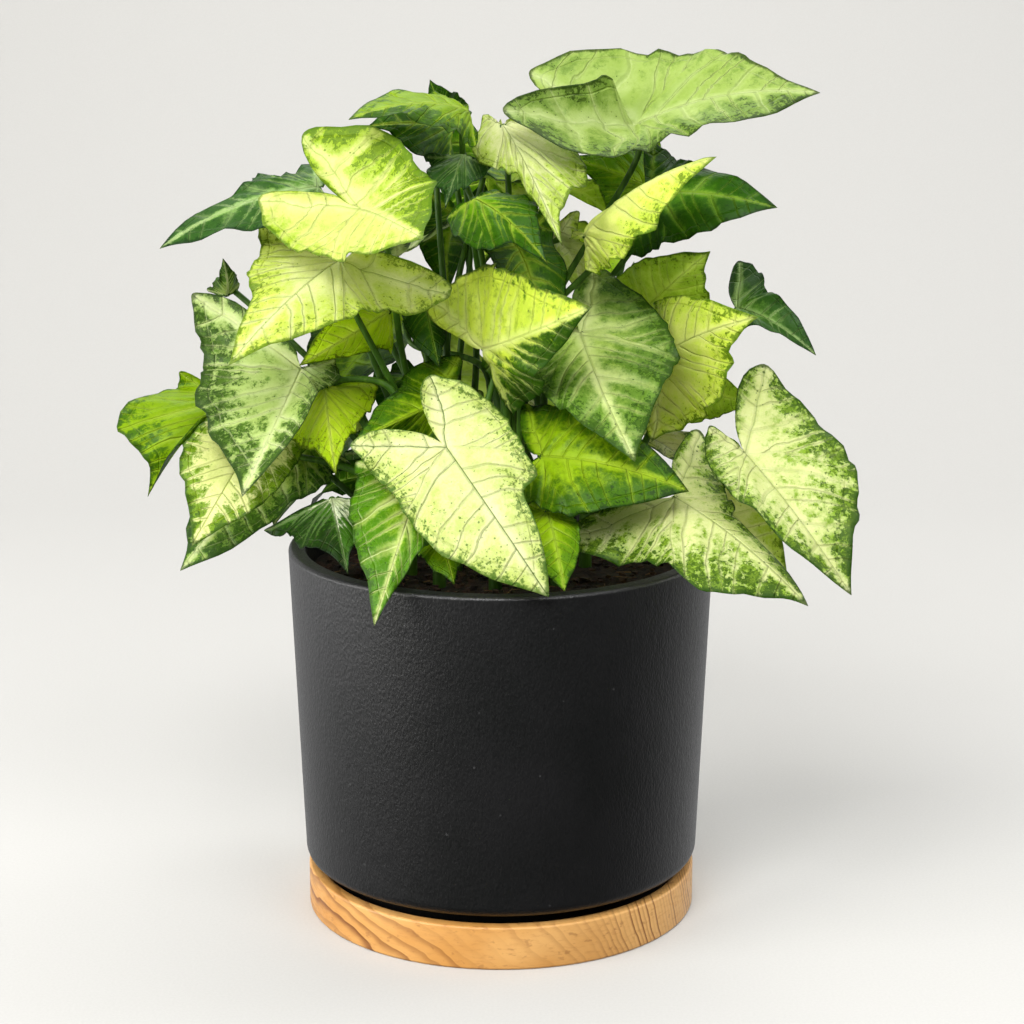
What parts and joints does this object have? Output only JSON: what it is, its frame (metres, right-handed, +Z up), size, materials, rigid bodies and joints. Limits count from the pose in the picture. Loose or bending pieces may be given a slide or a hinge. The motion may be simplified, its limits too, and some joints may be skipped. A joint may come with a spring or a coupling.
{
  "type": "arrowhead plant in a pot",
  "caption": "Potted arrowhead plant with variegated arrow-shaped leaves on slender stalks, in a tapered matte pot standing on a round wooden saucer.",
  "frame": {"origin": "centre of the saucer's underside, on the surface that the plant stands on", "axes": "+Z up along the pot's axis, -Y towards the plant's best side, +X to the right of a viewer who looks along +Y"},
  "size_m": [0.2884, 0.208, 0.3454],
  "materials": {
    "saucer_wood": "satin oiled pale wood with fine brown grain",
    "pot_glaze": "matte charcoal with a fine leathery texture",
    "potting_soil": "moist dark peat with fibres and small bits",
    "stalk_green": "smooth green stalks, paler at the joint",
    "blade_cream": "cream blade with green speckles at the margin and fine veins",
    "blade_lime": "yellow-green blade with pale veins and green speckles",
    "blade_green": "mid green blade with pale veins and a dark mottled margin",
    "blade_dark": "dark green blade with pale veins"
  },
  "bodies": {
    "root": {"saucer": "saucer_wood", "pot": "pot_glaze", "soil": "potting_soil", "stem_front_left": "stalk_green", "stem_left": "stalk_green", "stem_upper_left": "stalk_green", "stem_front": "stalk_green", "stem_front_right": "stalk_green", "stem_right": "stalk_green", "stem_centre": "stalk_green", "stem_back_left": "stalk_green", "stem_back_right": "stalk_green", "leaf_01": "blade_cream", "leaf_02": "blade_green", "leaf_03": "blade_green", "leaf_04": "blade_lime", "leaf_05": "blade_cream", "leaf_06": "blade_dark", "leaf_07": "blade_dark", "leaf_08": "blade_lime", "leaf_09": "blade_lime", "leaf_10": "blade_dark", "leaf_11": "blade_green", "leaf_12": "blade_lime", "leaf_13": "blade_green", "leaf_14": "blade_lime", "leaf_15": "blade_green", "leaf_16": "blade_lime", "leaf_17": "blade_green", "leaf_18": "blade_dark", "leaf_19": "blade_cream", "leaf_20": "blade_cream", "leaf_21": "blade_dark", "leaf_22": "blade_green", "leaf_23": "blade_green", "leaf_24": "blade_green", "leaf_25": "blade_green", "leaf_26": "blade_lime", "leaf_27": "blade_dark", "leaf_28": "blade_dark", "leaf_29": "blade_cream", "leaf_30": "blade_lime", "leaf_31": "blade_green", "leaf_32": "blade_dark", "leaf_33": "blade_dark", "leaf_34": "blade_dark", "leaf_35": "blade_dark", "leaf_36": "blade_lime", "leaf_37": "blade_green", "leaf_38": "blade_green", "leaf_39": "blade_lime", "leaf_40": "blade_cream", "leaf_41": "blade_dark", "leaf_42": "blade_green", "leaf_43": "blade_lime", "leaf_44": "blade_green", "leaf_45": "blade_dark", "leaf_46": "blade_cream", "leaf_47": "blade_dark"}
  },
  "joints": []
}
